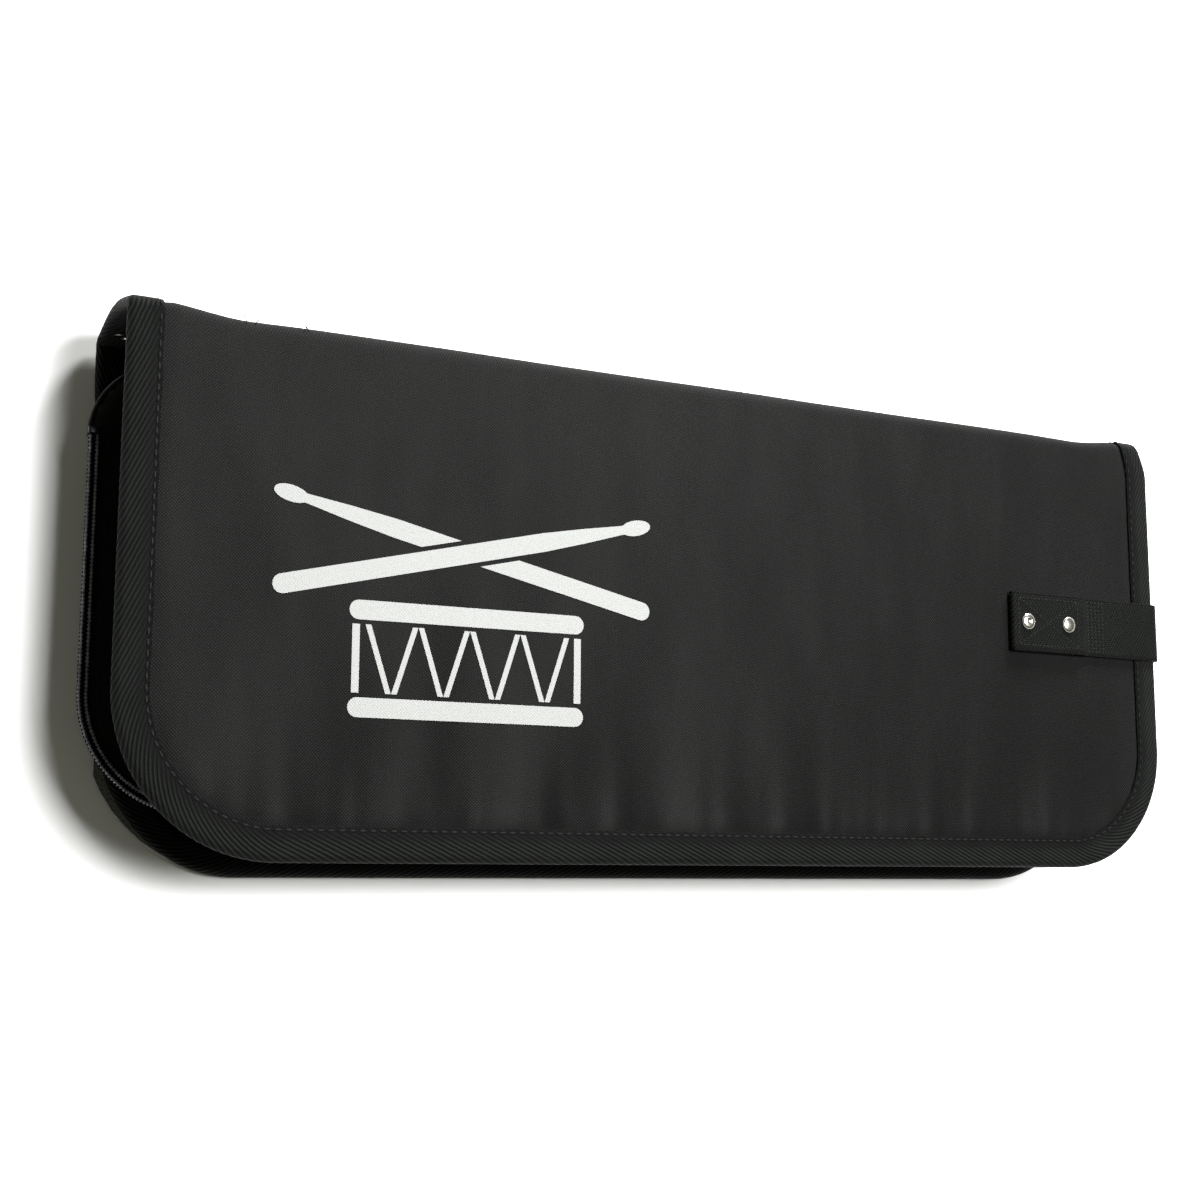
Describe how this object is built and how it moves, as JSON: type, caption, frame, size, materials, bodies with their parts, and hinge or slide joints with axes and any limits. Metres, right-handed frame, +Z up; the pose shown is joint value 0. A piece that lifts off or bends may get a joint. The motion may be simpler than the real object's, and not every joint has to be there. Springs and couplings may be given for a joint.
{
  "type": "drum stick bag",
  "caption": "Flat padded bag of two cloth leaves that fold over a spine, with stick sleeves, a zipped pocket and a riveted webbing strap round one end.",
  "frame": {"origin": "under the middle of the closed bag's outer box, on the surface that it lies on", "axes": "+X along the sticks towards the strap, +Y towards the spine, +Z up out of the front leaf"},
  "size_m": [0.4682, 0.1952, 0.0592],
  "materials": {
    "cover_fabric": "fine diagonal-weave nylon, charcoal black, matt with a faint sheen",
    "lining_fabric": "plain-weave nylon lining, black, matt",
    "binding_tape": "ribbed herringbone binding tape, dark grey",
    "foam": "closed-cell foam padding, hidden between the cloths",
    "webbing": "ribbed nylon webbing, black",
    "zip_tape": "woven zip tape, black",
    "zip_coil": "moulded nylon coil, black, glossy",
    "zip_metal": "black enamelled zinc, satin",
    "hook_and_loop": "hook and loop tape, black",
    "nickel": "bright nickel plate"
  },
  "bodies": {
    "back_leaf": {"back_cover": "cover_fabric", "back_foam": "foam", "back_lining": "lining_fabric", "back_binding": "binding_tape", "zip_pocket_gusset": "lining_fabric", "zip_pocket_panel": "cover_fabric", "zip_tape_lower": "zip_tape", "zip_tape_upper": "zip_tape", "zip_coil_lower": "zip_coil", "zip_coil_upper": "zip_coil", "zip_stop_open_end": "zip_coil", "zip_stop_closed_end": "zip_coil", "closure_tab": "webbing", "loop_patch": "hook_and_loop"},
    "spine": {"spine_cover": "cover_fabric", "spine_lining": "lining_fabric", "spine_foam": "foam", "spine_binding_left": "binding_tape", "spine_binding_right": "binding_tape", "spine_eyelet": "nickel"},
    "front_leaf": {"front_cover": "cover_fabric", "front_foam": "foam", "front_lining": "lining_fabric", "front_binding": "binding_tape", "stick_sleeve_1": "lining_fabric", "stick_sleeve_2": "lining_fabric", "stick_sleeve_3": "lining_fabric", "sleeve_end_seam": "lining_fabric", "strap_base": "webbing", "rivet_1": "nickel", "rivet_2": "nickel", "rivet_burr_1": "nickel", "rivet_burr_2": "nickel"},
    "strap": {"strap_tail": "webbing", "hook_patch": "hook_and_loop"},
    "zip_slider": {"zip_slider": "zip_metal"},
    "zip_pull": {"zip_pull": "zip_metal"}
  },
  "joints": [
    {"name": "spine_fold", "type": "hinge", "parent": "back_leaf", "child": "spine", "pos_m": [0, 0.09485, 0.002], "axis": [-1, 0, 0], "range_deg": [0, 90]},
    {"name": "leaf_fold", "type": "hinge", "parent": "spine", "child": "front_leaf", "pos_m": [0, 0.09485, 0.052], "axis": [-1, 0, 0], "range_deg": [0, 90]},
    {"name": "strap_swing", "type": "hinge", "parent": "front_leaf", "child": "strap", "pos_m": [0.2322, 0.01135, 0.054], "axis": [0, -1, 0], "range_deg": [0, 180]},
    {"name": "zip_slide", "type": "slide", "parent": "back_leaf", "child": "zip_slider", "axis": [-1, 0, 0], "range_m": [0, 0.22]},
    {"name": "pull_swing", "type": "hinge", "parent": "zip_slider", "child": "zip_pull", "pos_m": [0.0391, -0.07445, 0.0286], "axis": [0, 1, 0], "range_deg": [0, 180]}
  ],
  "couplings": [
    {"joint": "leaf_fold", "follows": "spine_fold", "ratio": 1}
  ]
}
